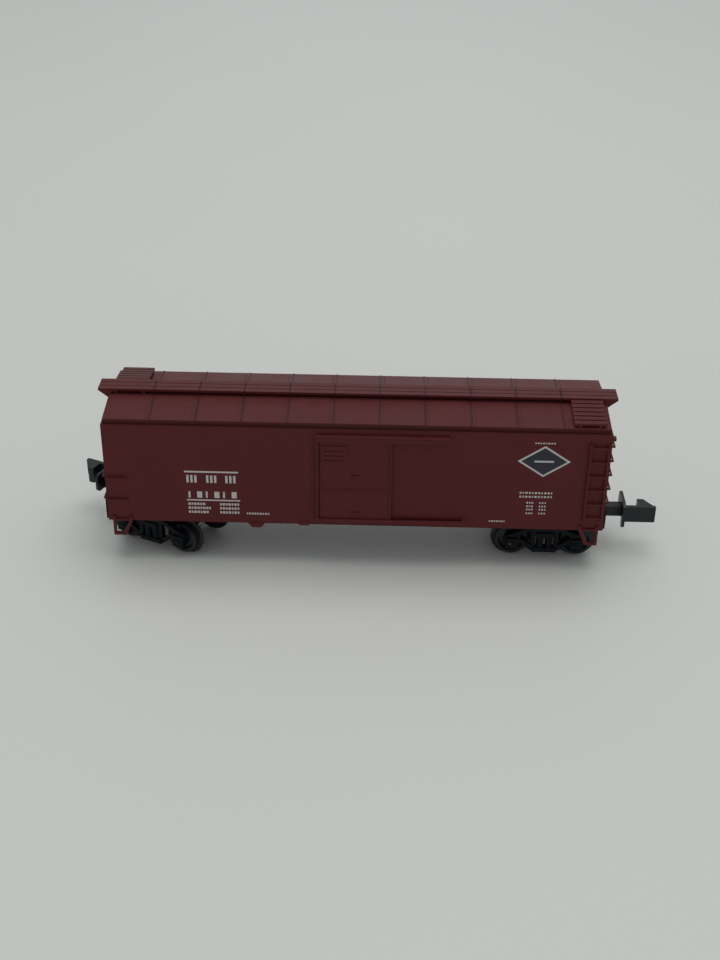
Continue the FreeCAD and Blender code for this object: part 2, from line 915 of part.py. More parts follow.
def make_weight_plate():
    body = new_body("weight_plate")
    long_half = d.weight_length / 2
    wide_half = d.weight_width / 2
    plate = (floor_top, floor_top + d.weight_thickness)
    block(body, "plate", (-long_half, long_half), (-wide_half, wide_half), plate)
    for k, x in enumerate((-d.weight_peg_span / 2, d.weight_peg_span / 2)):
        hole = d.weight_peg_radius + d.floor_gap
        rod(body, f"hole_{k}", "XY_Plane", (x, 0), hole, floor_top - 1, floor_top + 3, cut=True)
    return body


# ---------------------------------------------------------------- trucks
# Truck pieces are drawn about the truck's own pivot, with the coupler towards +X.


def truck_side(body):
    """Far side frame: arched top, spring opening, two windows and two journal boxes."""
    inside = d.frame_inside
    outside = inside + d.frame_thickness
    axle = d.wheelbase / 2
    box = d.journal_width / 2
    top = d.frame_top
    bottom = d.frame_bottom
    level = d.axle_level
    half = [
        (1.95, bottom),
        (axle - box - 0.1, level + 0.2),
        (axle - box, level - 0.85),
        (axle + box, level - 0.85),
        (axle + box + 0.2, level + 1.3),
        (axle - 0.4, level + 1.9),
        (2.7, top),
    ]
    window = [
        (2.2, top - 0.75),
        (2.2, bottom + 1.15),
        (axle - box - 0.35, level + 0.75),
        (axle - box - 0.2, level + 1.35),
        (2.9, top - 0.75),
    ]
    outlines = [
        half + flipped(half),
        span(-1.5, 1.5, bottom + 0.85, top - 0.75),
        window,
        flipped(window),
    ]
    prisms(body, "side", "XZ_Plane", outlines, inside, outside)
    low = level - 0.85
    high = level + 0.95
    boxes = [span(x - box, x + box, low, high) for x in (-axle, axle)]
    lid = outside + d.journal_proud
    prisms(body, "journals", "XZ_Plane", boxes, outside - 0.1, lid)
    bosses = [(x, level) for x in (-axle, axle)]
    rods(body, "journal_bosses", "XZ_Plane", bosses, 0.45, outside, lid + 0.15)
    seat = (bottom, bottom + 0.75)
    block(body, "spring_seat", (-1.9, 1.9), (inside, outside + 0.25), seat)
    middle = (inside + outside) / 2
    coils = [(x, middle) for x in (-0.72, 0.72)]
    rods(body, "springs", "XY_Plane", coils, 0.58, bottom + 0.6, d.bolster_bottom + 0.1)


def flipped(points):
    """An outline mirrored across the upright axis of its sketch."""
    return [(-1 * Size.of(a), b) for a, b in reversed(points)]


def bearing_cone(body, name, x):
    """A cone bearing bored into the side frame's inner face, round an axle's point."""
    gap = d.bearing_gap
    slope = (d.axle_radius - 0.05) / (d.axle_tip - d.axle_shoulder)
    mouth = d.frame_inside - 0.05
    mouth_radius = d.axle_radius - (mouth - d.axle_shoulder) * slope + gap
    bottom = d.axle_tip + gap
    sketch = sketch_on(body, name, "YZ_Plane", x)
    points = [
        (mouth, d.axle_level),
        (bottom, d.axle_level),
        (bottom, d.axle_level + 0.1),
        (mouth, d.axle_level + mouth_radius),
    ]
    draw_polygon(sketch, points)
    groove = body.newObject("PartDesign::Groove", name)
    groove.Profile = sketch
    groove.ReferenceAxis = (sketch, ["Edge1"])
    groove.Angle = 360
    sketch.Visibility = False


def coupler_box(body):
    """The box on the truck's tongue that holds the coupler's tail and its spring."""
    back = d.box_back
    front = d.box_front
    half = d.box_half_width
    wall = d.box_wall
    low = d.box_bottom
    high = d.box_top
    block(body, "tongue", (1.2, back + 0.2), (-1.6, 1.6), (low, low + 1.0))
    block(body, "box", (back, front), (-half, half), (low, high))
    inner = (-half + wall, half - wall)
    chamber_end = d.tail_back + d.tail_thickness + d.coupler_gap + 0.1
    block(body, "chamber", (back + wall, chamber_end), inner, (low - 1, coupler_roof()), cut=True)
    slot = (-d.shank_half_width - d.coupler_gap, d.shank_half_width + d.coupler_gap)
    block(body, "shank_slot", (chamber_end - 0.3, front + 1), slot, (low - 1, high + 1), cut=True)


def coupler_roof():
    """Inside height of the coupler box."""
    return d.coupler_top + 0.1


def make_truck_frame(name):
    body = new_body(name)
    half = d.bolster_width / 2
    wide = d.frame_inside + d.frame_thickness / 2
    block(body, "bolster", (-half, half), (0, wide), (d.bolster_bottom, d.frame_top - 0.3))
    truck_side(body)
    block(body, "bolster_end", (-1.25, 1.25), (wide - 0.2, wide + 0.65), (4.55, 5.35))
    axle = d.wheelbase / 2
    bearing_cone(body, "outer_bearing", axle)
    bearing_cone(body, "inner_bearing", -axle)
    mirror(body, "both_sides", "XZ_Plane")
    coupler_box(body)
    radius = d.centre_plate_radius
    rod(body, "centre_plate", "XY_Plane", (0, 0), radius, d.bolster_bottom, d.centre_plate_level)
    bore = d.pin_radius + d.pin_gap
    rod(body, "pin_bore", "XY_Plane", (0, 0), bore, 3.0, d.centre_plate_level + 1, cut=True)
    return body


def make_truck_pin(name):
    """Headed pin, pushed up through the truck's bore into the underframe's boss."""
    body = new_body(name)
    head_top = d.bolster_bottom - d.pin_gap
    head = (head_top - d.pin_head_height, head_top)
    rod(body, "head", "XY_Plane", (0, 0), d.pin_head_radius, *head)
    rod(body, "shank", "XY_Plane", (0, 0), d.pin_radius, head_top - 0.1, boss_top - 0.3)
    slot = span(-2.0, 2.0, -0.15, 0.15)
    prism(body, "slot", "XY_Plane", slot, head_top - 0.6 - d.pin_head_height, head[0] + 0.2, cut=True)
    return body


def make_axle(name):
    """Axle with a point at each end, lying across the truck."""
    body = new_body(name)
    r = d.axle_radius
    shoulder = d.axle_shoulder
    tip = d.axle_tip
    points = [
        (0, -tip),
        (0.05, -tip),
        (r, -shoulder),
        (r, shoulder),
        (0.05, tip),
        (0, tip),
    ]
    revolve(body, "turned", "XY_Plane", points, "Y_Axis")
    return body


def make_wheel(name, sign):
    """Flanged wheel with a dished face, pressed on its axle."""
    body = new_body(name)
    inside = d.wheel_inside
    outside = inside + d.wheel_width
    bore = d.axle_radius
    flange = d.flange_radius
    tread = d.tread_radius
    points = [
        (bore, inside),
        (flange - 0.12, inside),
        (flange, inside + 0.15),
        (flange, inside + d.flange_width - 0.1),
        (flange - 0.2, inside + d.flange_width),
        (tread + 0.06, inside + d.flange_width + 0.06),
        (tread, outside),
        (tread - 0.45, outside),
        (tread - 0.6, outside - 0.5),
        (bore + 0.75, outside - 0.35),
        (bore + 0.6, outside + 0.05),
        (bore, outside + 0.05),
    ]
    points = [(a, sign * Size.of(b)) for a, b in points]
    revolve(body, "turned", "XY_Plane", points, "Y_Axis")
    return body


def make_coupler(name):
    """Hook coupler: tail, shank, guard plate, side wall and the hooked nose."""
    body = new_body(name)
    low = d.coupler_bottom
    high = d.coupler_top
    back = d.tail_back
    tail = (-d.tail_half_width, d.tail_half_width)
    shank = (-d.shank_half_width, d.shank_half_width)
    block(body, "tail", (back, back + d.tail_thickness), tail, (low, high - 0.1))
    guard = (d.guard_front - d.guard_thickness, d.guard_front)
    block(body, "shank", (back + 0.2, d.guard_front), shank, (low, high))
    guard_half = d.guard_half_width
    guard_outline = [
        (-guard_half, d.guard_bottom + 0.4),
        (-guard_half + 0.4, d.guard_bottom),
        (-guard_half + 1.0, d.guard_bottom),
        (-guard_half + 1.4, low),
        (guard_half - 0.4, low),
        (guard_half, low + 0.4),
        (guard_half, d.guard_top - 0.5),
        (guard_half - 0.5, d.guard_top),
        (-guard_half + 1.0, d.guard_top),
        (-guard_half, d.hook_top),
    ]
    prism(body, "guard", "YZ_Plane", guard_outline, *guard)
    side = -d.hook_side
    inner_side = side + d.hook_wall
    hook = (d.hook_bottom, d.hook_top)
    block(body, "side_wall", (guard[0], d.hook_tip), (side, inner_side), hook)
    nose = [
        (d.hook_inner, inner_side - 0.2),
        (d.hook_tip - 0.3, side + 0.1),
        (d.hook_tip - 0.3, inner_side - 0.1),
        (d.hook_inner + 1.0, d.hook_reach),
        (d.hook_inner, d.hook_reach),
    ]
    prism(body, "nose", "XY_Plane", nose, d.hook_bottom, d.hook_top)
    return body


def make_spring(name):
    """Coil spring between the back of the box and the coupler's tail."""
    wire = d.spring_wire
    start = d.box_back + d.box_wall + wire / 2 + 0.03
    end = d.tail_back - wire / 2 - 0.28
    length = end - start
    body = new_body(name)
    sketch = sketch_on(body, name, "XZ_Plane", 0)
    level = d.coupler_bottom + (d.coupler_top - d.coupler_bottom) / 2
    draw_circle(sketch, (start, d.spring_radius), wire / 2)
    coil = body.newObject("PartDesign::AdditiveHelix", "coil")
    coil.Profile = sketch
    coil.ReferenceAxis = (sketch, ["H_Axis"])
    coil.Mode = "height-turns-growth"
    bind(coil, "Height", length)
    bind(coil, "Turns", d.spring_turns)
    sketch.Visibility = False
    return body, level


def make_cover(name):
    """Plate that closes the coupler box from below."""
    body = new_body(name)
    half = d.box_half_width - d.box_wall
    front = d.tail_back + d.tail_thickness + d.coupler_gap + 0.1
    x = (d.box_back + d.box_wall, front)
    block(body, "plate", x, (-half, half), (d.box_bottom, d.box_bottom + d.cover_thickness))
    return body


def place_on_truck(body, side, x=None, level=None):
    """Puts a piece on its truck: along the truck's X by x and up by level, then turned."""
    sign = 1 if side == "right" else -1
    yaw = getattr(d, f"{side}_truck_yaw")
    turn = yaw if sign > 0 else yaw + 180
    body.Placement = FreeCAD.Placement(Vector(0, 0, 0), Vector(0, 0, 1), turn.value)
    base_x = sign * pin_half_span
    base_y = Size.of(0)
    if x is not None:
        base_x = base_x + x * Size(math.cos(math.radians(turn.value)), f"cos({turn.formula})")
        base_y = base_y + x * Size(math.sin(math.radians(turn.value)), f"sin({turn.formula})")
    bind(body, "Placement.Rotation.Angle", turn)
    bind(body, "Placement.Base.x", base_x)
    bind(body, "Placement.Base.y", base_y)
    if level is not None:
        bind(body, "Placement.Base.z", level)


def make_truck(side):
    """All the pieces of one truck; near and far are the car's own sides."""
    frame = make_truck_frame(f"{side}_truck_frame")
    pin = make_truck_pin(f"{side}_truck_pin")
    coupler = make_coupler(f"{side}_coupler")
    cover = make_cover(f"{side}_coupler_cover")
    for body in (frame, pin, coupler, cover):
        place_on_truck(body, side)
    spring, level = make_spring(f"{side}_coupler_spring")
    place_on_truck(spring, side, None, level)
    made = [frame, pin, coupler, cover, spring]
    near = -1 if side == "right" else 1
    for place, sign in (("outer", 1), ("inner", -1)):
        x = sign * d.wheelbase / 2
        axle = make_axle(f"{side}_{place}_axle")
        near_wheel = make_wheel(f"{side}_{place}_near_wheel", near)
        far_wheel = make_wheel(f"{side}_{place}_far_wheel", -near)
        for body in (axle, near_wheel, far_wheel):
            place_on_truck(body, side, x, d.axle_level)
            made.append(body)
    return made


# ---------------------------------------------------------------- build and write

bodies = [make_body_shell(), make_underframe(), make_weight_plate(), make_running_board()]
bodies.append(make_door("door_near", 0))
bodies.append(make_door("door_far", 180))
bodies += make_truck("left") + make_truck("right")
doc.recompute()

faults = [item.Name for item in doc.Objects if {"Invalid", "Error"} & set(item.State)]
if faults:
    raise RuntimeError(f"these objects did not compute: {faults}")
for body in bodies:
    if body.Shape.isNull() or not body.Shape.isValid():
        raise RuntimeError(f"{body.Label} has no valid shape")

os.makedirs("parts", exist_ok=True)
for body in bodies:
    body.Shape.exportStep(f"parts/{body.Label}.step")
    print(body.Label, round(body.Shape.Volume, 3), len(body.Shape.Solids))
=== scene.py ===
"""Looks of a small plastic box car: a finish for every CAD piece, rivets, printed marks, and a stage."""

import itertools
import math

import bmesh
import bpy
from mathutils import Matrix, Vector


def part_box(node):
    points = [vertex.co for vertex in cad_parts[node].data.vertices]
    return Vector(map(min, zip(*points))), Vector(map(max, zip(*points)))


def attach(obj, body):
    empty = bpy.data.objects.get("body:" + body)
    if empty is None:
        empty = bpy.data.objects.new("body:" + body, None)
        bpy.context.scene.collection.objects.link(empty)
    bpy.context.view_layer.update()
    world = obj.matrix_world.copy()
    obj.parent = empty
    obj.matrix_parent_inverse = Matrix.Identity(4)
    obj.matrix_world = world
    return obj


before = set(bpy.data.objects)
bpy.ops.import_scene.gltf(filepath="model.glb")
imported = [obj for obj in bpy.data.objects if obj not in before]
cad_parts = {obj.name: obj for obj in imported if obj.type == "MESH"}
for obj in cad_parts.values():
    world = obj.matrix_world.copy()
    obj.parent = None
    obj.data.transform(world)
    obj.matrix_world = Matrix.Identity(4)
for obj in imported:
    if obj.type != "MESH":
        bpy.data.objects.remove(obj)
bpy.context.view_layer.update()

MM = 0.001
WALL = 8.7 * MM
EAVE = 24.74 * MM
FASCIA = 0.86 * MM
ROOF_RISE = 1.1 * MM
ROOF_REACH = 8.37 * MM
SEAM_PITCH = 7.08 * MM
SEAM_COUNT = 10
LEFT_TRUCK_TURN = math.radians(25)


# ---------------------------------------------------------------- shader building


class Value:
    """One output of a shader node. Arithmetic on it adds Math nodes."""

    def __init__(self, finish, socket):
        self.finish = finish
        self.socket = socket

    def __add__(self, other):
        return self.finish.math("ADD", self, other)

    __radd__ = __add__

    def __sub__(self, other):
        return self.finish.math("SUBTRACT", self, other)

    def __rsub__(self, other):
        return self.finish.math("SUBTRACT", other, self)

    def __mul__(self, other):
        return self.finish.math("MULTIPLY", self, other)

    __rmul__ = __mul__

    def __abs__(self):
        return self.finish.math("ABSOLUTE", self)

    def __lt__(self, other):
        return self.finish.math("LESS_THAN", self, other)

    def __gt__(self, other):
        return self.finish.math("GREATER_THAN", self, other)


class Finish:
    """A material and the nodes that give it its look."""

    def __init__(self, name):
        self.material = bpy.data.materials.new(name)
        self.material.use_nodes = True
        self.tree = self.material.node_tree
        self.shader = self.tree.nodes["Principled BSDF"]
        self.place = self.add("ShaderNodeTexCoord", {}, {}, "Object")

    def add(self, kind, settings, inputs, output=0):
        """Adds a node with its settings, feeds its sockets, and returns one of its outputs."""
        node = self.tree.nodes.new(kind)
        for key, setting in settings.items():
            if key == "stops":
                self.set_stops(node.color_ramp, setting)
            else:
                setattr(node, key, setting)
        for key, value in inputs.items():
            self.feed(node.inputs[key], value)
        return Value(self, node.outputs[output])

    def set_stops(self, ramp, stops):
        while len(ramp.elements) < len(stops):
            ramp.elements.new(0.5)
        for element, (position, level) in zip(ramp.elements, stops):
            element.position = position
            element.color = (level, level, level, 1)

    def math(self, operation, first, second=0.0):
        return self.add("ShaderNodeMath", {"operation": operation}, {0: first, 1: second})

    def feed(self, socket, value):
        if isinstance(value, Value):
            self.tree.links.new(value.socket, socket)
        else:
            socket.default_value = value

    def surface(self, **inputs):
        """Sets sockets of the surface shader, with spaces for underscores."""
        for key, value in inputs.items():
            self.feed(self.shader.inputs[key.replace("_", " ")], value)

    def noise(self, scale, detail=4.0, place=None):
        return self.add(
            "ShaderNodeTexNoise",
            {},
            {"Vector": place or self.place, "Scale": scale, "Detail": detail},
        )

    def ramp(self, value, *stops):
        """A value passed through a ramp of (position, level) stops."""
        return self.add("ShaderNodeValToRGB", {"stops": stops}, {0: value})

    def blend(self, factor, first, second):
        """A colour between two, by a factor that varies over the surface."""
        return self.add(
            "ShaderNodeMix",
            {"data_type": "RGBA", "clamp_factor": True},
            {0: factor, 6: first, 7: second},
            2,
        )

    def bump(self, height, distance, strength=1.0):
        return self.add(
            "ShaderNodeBump",
            {},
            {"Height": height, "Distance": distance, "Strength": strength},
            "Normal",
        )

    def stretched(self, scale):
        """The place on the piece, stretched along its axes."""
        return self.add("ShaderNodeMapping", {}, {"Vector": self.place, "Scale": scale})

    def along(self, vector, axis):
        """One coordinate of a vector."""
        return self.add("ShaderNodeSeparateXYZ", {}, {0: vector}, axis)

    def upward(self):
        """How much the surface faces up: 1 on a level top, 0 on a wall."""
        return self.along(self.add("ShaderNodeNewGeometry", {}, {}, "Normal"), "Z")

    def specks(self, cells, radius, share):
        """Dots of dust: a few of the cells of a scatter hold one."""
        scatter = {"Vector": self.place, "Scale": cells}
        distance = self.add("ShaderNodeTexVoronoi", {}, scatter, "Distance")
        colour = self.add("ShaderNodeTexVoronoi", {}, scatter, "Color")
        chance = self.add("ShaderNodeSeparateColor", {}, {0: colour}, "Red")
        return (distance < radius) * (chance < share)


def rgb(red, green, blue):
    return (red, green, blue, 1.0)


# ---------------------------------------------------------------- finishes


DUST = rgb(0.55, 0.53, 0.5)
# Near-black red that painted shade darkens toward.
PAINTED_SHADE_TONE = rgb(0.03, 0.0045, 0.005)


def moulded_plastic(name, deep, pale, rough, film, gloss, shade_mask=None):
    """Plain moulded plastic: cloudy colour, a fine grain, painted shade by an optional mask, a film of dust
    on its tops, and dust specks.
    """
    finish = Finish(name)
    cloud = finish.noise(scale=170.0, detail=5.0)
    fine = finish.noise(scale=2600.0, detail=3.0)
    pores = finish.noise(scale=6500.0, detail=2.0)
    colour = finish.blend(cloud * 0.6 + fine * 0.4, deep, pale)
    # Painted shade: the colour darkens toward the shade tone where the mask is given.
    if shade_mask:
        colour = finish.blend(shade_mask(finish) * (fine * 0.5 + 0.5), colour, PAINTED_SHADE_TONE)
    patches = finish.noise(scale=420.0, detail=6.0)
    settled = finish.ramp(finish.upward(), (0.35, 0.0), (1.0, 1.0)) * patches
    colour = finish.blend(settled * film, colour, DUST)
    specks = finish.specks(cells=520.0, radius=0.06, share=0.05)
    colour = finish.blend(specks * 0.5, colour, DUST)
    finish.surface(
        Base_Color=colour,
        Roughness=cloud * 0.16 + pores * 0.1 + rough,
        Normal=finish.bump(pores * 0.7 + fine * 0.3, 0.012 * MM, strength=0.5),
        Specular_IOR_Level=gloss,
    )
    return finish.material


def seam_and_eave_shade(finish):
    """Painted shade beside the roof's seam caps, the same dark lines across the running board at its joints
    over the seams, and a painted shadow on the fascia under the eaves.
    """
    x = finish.along(finish.place, "X")
    z = finish.along(finish.place, "Z")
    # Painted shade beside each seam cap, on the roof and across the running board.
    # The seams stand half a pitch off the middle of the car, so they fall at the half of each turn.
    turns = finish.math("FRACT", x * (1 / SEAM_PITCH) + SEAM_COUNT)
    beside = finish.ramp(abs(turns - 0.5), (0.0, 1.0), (0.014, 1.0), (0.034, 0.0))
    on_roof = z > EAVE + FASCIA + 0.04 * MM
    in_row = abs(x) < SEAM_PITCH * SEAM_COUNT / 2
    # Painted shadow on the fascia, under the eave's overhang.
    from_line = abs(z - (EAVE + 0.3 * MM)) * (1 / MM)
    eaves = finish.ramp(from_line, (0.0, 1.0), (0.2, 0.8), (0.5, 0.0))
    return finish.math("MAXIMUM", beside * on_roof * in_row * 0.85, eaves * 0.9)


def turned_steel(name, axis):
    """Bright turned steel: rings round the axle, 0.1 mm apart, and a slight stain."""
    finish = Finish(name)
    lengthwise = finish.add(
        "ShaderNodeVectorMath", {"operation": "DOT_PRODUCT"}, {0: finish.place, 1: axis}, "Value"
    )
    rings = finish.math("SINE", lengthwise * 62000.0) * 0.5 + 0.5
    stain = finish.noise(scale=900.0, detail=5.0)
    finish.surface(
        Base_Color=finish.blend(stain, rgb(0.42, 0.4, 0.38), rgb(0.62, 0.61, 0.6)),
        Metallic=1.0,
        Roughness=stain * 0.2 + 0.2,
        Normal=finish.bump(rings * 0.6 + finish.noise(scale=9000.0) * 0.4, 0.006 * MM),
    )
    return finish.material


def rolled_plate(name):
    """Rolled steel: scratches along its length, with faint rust."""
    finish = Finish(name)
    scratches = finish.noise(scale=900.0, place=finish.stretched((0.06, 1.0, 1.0)))
    rust = finish.ramp(finish.noise(scale=260.0, detail=7.0), (0.56, 0.0), (0.7, 1.0))
    steel = finish.blend(scratches, rgb(0.34, 0.34, 0.34), rgb(0.52, 0.52, 0.51))
    finish.surface(
        Base_Color=finish.blend(rust * 0.6, steel, rgb(0.16, 0.07, 0.03)),
        Metallic=1.0 - rust * 0.8,
        Roughness=rust * 0.35 + scratches * 0.2 + 0.28,
        Normal=finish.bump(scratches, 0.008 * MM),
    )
    return finish.material


def drawn_wire(name):
    """Drawn spring wire: smooth, with fine streaks."""
    finish = Finish(name)
    streaks = finish.noise(scale=5200.0)
    finish.surface(
        Base_Color=finish.blend(streaks, rgb(0.36, 0.35, 0.33), rgb(0.6, 0.58, 0.55)),
        Metallic=1.0,
        Roughness=streaks * 0.18 + 0.22,
        Normal=finish.bump(streaks, 0.004 * MM),
    )
    return finish.material


def printed(name, ink, worn):
    """Pad-printed ink: thin enough in places for the plastic to show."""
    finish = Finish(name)
    thin = finish.ramp(finish.noise(scale=3200.0), (0.5, 0.0), (0.78, 1.0))
    finish.surface(
        Base_Color=finish.blend(thin * 0.55, ink, worn),
        Roughness=thin * 0.15 + 0.42,
        Normal=finish.bump(finish.noise(scale=6500.0, detail=2.0), 0.006 * MM),
    )
    return finish.material


def pale_floor(name):
    """Plain pale card, barely uneven."""
    finish = Finish(name)
    wide = finish.noise(scale=5.0, detail=3.0)
    fibres = finish.noise(scale=1100.0, detail=3.0)
    uneven = wide * 0.8 + fibres * 0.2
    finish.surface(
        Base_Color=finish.blend(uneven, rgb(0.73, 0.745, 0.725), rgb(0.8, 0.81, 0.795)),
        Roughness=wide * 0.1 + 0.55,
        Normal=finish.bump(fibres, 0.02 * MM),
    )
    return finish.material


OXIDE = {"deep": rgb(0.086, 0.0125, 0.0145), "pale": rgb(0.126, 0.0195, 0.0225)}
# A darker copy of the oxide plastic, as painted shade on the rivet heads.
SHADED_OXIDE = {"deep": rgb(0.045, 0.006, 0.007), "pale": rgb(0.075, 0.011, 0.013)}
BLACK = {"deep": rgb(0.002, 0.0027, 0.0045), "pale": rgb(0.006, 0.0075, 0.011)}
COUPLER_BLACK = {"deep": rgb(0.005, 0.006, 0.009), "pale": rgb(0.011, 0.013, 0.018)}
WHEEL_BLACK = {"deep": rgb(0.003, 0.004, 0.007), "pale": rgb(0.01, 0.012, 0.017)}
LEFT_AXLE = (math.sin(LEFT_TRUCK_TURN), math.cos(LEFT_TRUCK_TURN), 0)
RIGHT_AXLE = (0, 1, 0)

oxide_plastic = moulded_plastic("oxide_plastic", **OXIDE, rough=0.3, film=0.03, gloss=0.17, shade_mask=seam_and_eave_shade)
door_plastic = moulded_plastic("door_plastic", **OXIDE, rough=0.3, film=0.03, gloss=0.17)
# Rivet heads on the roof, door guides and doors take the darker copy: painted shade on every rivet.
shaded_rivet_plastic = moulded_plastic("shaded_rivet_plastic", **SHADED_OXIDE, rough=0.36, film=0.03, gloss=0.25)
black_plastic = moulded_plastic("black_plastic", **BLACK, rough=0.28, film=0.01, gloss=0.14)
coupler_plastic = moulded_plastic("coupler_plastic", **COUPLER_BLACK, rough=0.26, film=0.02, gloss=0.4)
wheel_plastic = moulded_plastic("wheel_plastic", **WHEEL_BLACK, rough=0.2, film=0.02, gloss=0.4)
left_axle_steel = turned_steel("left_axle_steel", LEFT_AXLE)
right_axle_steel = turned_steel("right_axle_steel", RIGHT_AXLE)
weight_steel = rolled_plate("weight_steel")
spring_steel = drawn_wire("spring_steel")
white_ink = printed("white_ink", ink=rgb(0.6, 0.58, 0.57), worn=rgb(0.2, 0.06, 0.06))
dark_ink = printed("dark_ink", ink=rgb(0.009, 0.013, 0.028), worn=rgb(0.03, 0.018, 0.025))


def coat(node, material):
    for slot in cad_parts[node].material_slots:
        slot.material = material


for node in ("body_shell", "running_board"):
    coat(node, oxide_plastic)
for node in ("door_near", "door_far"):
    coat(node, door_plastic)
coat("underframe", black_plastic)
coat("weight_plate", weight_steel)
for side, axle_steel in (("left", left_axle_steel), ("right", right_axle_steel)):
    for piece in ("truck_frame", "truck_pin", "coupler_cover"):
        coat(f"{side}_{piece}", black_plastic)
    coat(f"{side}_coupler", coupler_plastic)
    coat(f"{side}_coupler_spring", spring_steel)
    for axle in ("outer", "inner"):
        coat(f"{side}_{axle}_axle", axle_steel)
        for wheel in ("near", "far"):
            coat(f"{side}_{axle}_{wheel}_wheel", wheel_plastic)


# ---------------------------------------------------------------- new pieces


def make_piece(name, shape, body, material):
    """Turns a finished bmesh into a piece that rides on a CAD body."""
    bmesh.ops.recalc_face_normals(shape, faces=shape.faces)
    mesh = bpy.data.meshes.new(name)
    shape.to_mesh(mesh)
    shape.free()
    piece = bpy.data.objects.new(name, mesh)
    bpy.context.collection.objects.link(piece)
    mesh.materials.append(material)
    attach(piece, body)
    return piece


def spread(first, last, pitch):
    """Even steps from first to last, about a pitch apart."""
    count = max(1, round((last - first) / pitch))
    return [first + (last - first) * k / count for k in range(count + 1)]


def add_rivet(shape, place, tilt, radius):
    """A low round rivet head on a face whose normal is tilted about X from straight up."""
    flat = Matrix.Diagonal((1, 1, 0.6, 1))
    spot = Matrix.Translation(place) @ Matrix.Rotation(tilt, 4, "X") @ flat
    bmesh.ops.create_uvsphere(shape, u_segments=8, v_segments=4, radius=radius, matrix=spot)


RIDGE = EAVE + FASCIA + ROOF_RISE
SLOPE = math.atan2(ROOF_RISE, ROOF_REACH)
SEAM_TO_RIVETS = 0.62 * MM
ROOF_RIVET = 0.12 * MM


def roof_rivets():
    """Rivet rows beside the roof's seams, on the side away from the middle of the car."""
    shape = bmesh.new()
    for k in range(SEAM_COUNT):
        seam = (k - (SEAM_COUNT - 1) / 2) * SEAM_PITCH
        row = seam + math.copysign(SEAM_TO_RIVETS, seam)
        for reach in spread(first=2.2 * MM, last=7.9 * MM, pitch=0.95 * MM):
            level = RIDGE - reach * math.tan(SLOPE)
            add_rivet(shape, (row, -reach, level), SLOPE, ROOF_RIVET)
            add_rivet(shape, (row, reach, level), -SLOPE, ROOF_RIVET)
    make_piece("roof_rivets", shape, "car", shaded_rivet_plastic)


GUIDE_FACE = -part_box("body_shell")[0][1]
GUIDE_RIVET = 0.1 * MM
GUIDE_RIVET_LEVEL = 23.5 * MM
DOOR_FACE = 9.1 * MM
DOOR_RIVET = 0.09 * MM
SIDES = {"near": Matrix.Identity(4), "far": Matrix.Rotation(math.pi, 4, "Z")}


def guide_rivets(side, turn):
    """Rivets along the upper door guide."""
    shape = bmesh.new()
    for x in spread(first=-5.83 * MM, last=14.1 * MM, pitch=0.42 * MM):
        add_rivet(shape, (x, -GUIDE_FACE, GUIDE_RIVET_LEVEL), math.pi / 2, GUIDE_RIVET)
    bmesh.ops.transform(shape, matrix=turn, verts=shape.verts)
    make_piece(f"{side}_guide_rivets", shape, "car", shaded_rivet_plastic)


def door_rivets(side, turn):
    """Two rivet rows across a door: beside its placard board and under its seam."""
    shape = bmesh.new()
    for first, last, level in ((-0.9, 5.0, 19.1), (-5.2, 4.9, 14.0)):
        for x in spread(first * MM, last * MM, pitch=0.45 * MM):
            add_rivet(shape, (x, -DOOR_FACE, level * MM), math.pi / 2, DOOR_RIVET)
    bmesh.ops.transform(shape, matrix=turn, verts=shape.verts)
    make_piece(f"{side}_door_rivets", shape, f"{side}_door", shaded_rivet_plastic)


# The printed marks are laid out in millimetres on the near wall, as spans of x and of z.
INK = 0.015 * MM


def add_patch(shape, x, z, layer=1):
    """A printed patch over a span of x and of z. A higher layer lies on top of a lower one."""
    width = (x[1] - x[0]) * MM
    height = (z[1] - z[0]) * MM
    middle = ((x[0] + x[1]) / 2 * MM, -WALL, (z[0] + z[1]) / 2 * MM)
    size = Matrix.Diagonal((width, 2 * INK * layer, height, 1))
    bmesh.ops.create_cube(shape, size=1, matrix=Matrix.Translation(middle) @ size)


def add_dashes(shape, x, level, height, widths, gap):
    """A row of short dashes over a span of x, with the widths taken in turn."""
    place, end = x
    for width in itertools.cycle(widths):
        if place + width > end:
            return
        add_patch(shape, (place, place + width), (level - height / 2, level + height / 2))
        place += width + gap


def add_diamond(shape, middle, half, layer):
    """A printed diamond about a middle (x, z) with its half sizes."""
    place = Matrix.Translation((middle[0] * MM, -WALL, middle[1] * MM))
    size = Matrix.Diagonal((half[0] * MM, half[1] * MM, 2 * INK * layer, 1))
    spot = place @ Matrix.Rotation(math.pi / 2, 4, "X") @ size
    bmesh.ops.create_cone(shape, cap_ends=True, segments=4, radius1=1, radius2=1, depth=1, matrix=spot)


BADGE = (29.1, 19.9)
BADGE_EDGE = (4.1, 2.75)
BADGE_FIELD = (3.55, 2.38)


def name_bars(shape):
    """A rule over three groups of upright bars, in place of a name."""
    add_patch(shape, x=(-26.8, -18.35), z=(16.58, 16.86))
    for start in (-26.5, -23.4, -20.4):
        for k in range(3):
            x = start + 0.62 * k
            add_patch(shape, x=(x, x + 0.36), z=(14.75, 16.1))


def number_bars(shape):
    """Six bars, narrow and wide in turn, over a rule, in place of a number."""
    for k in range(6):
        x = -26.3 + 1.36 * k
        add_patch(shape, x=(x, x + (0.3, 0.8)[k % 2]), z=(12.0, 13.15))
    add_patch(shape, x=(-26.6, -18.2), z=(11.45, 11.68))


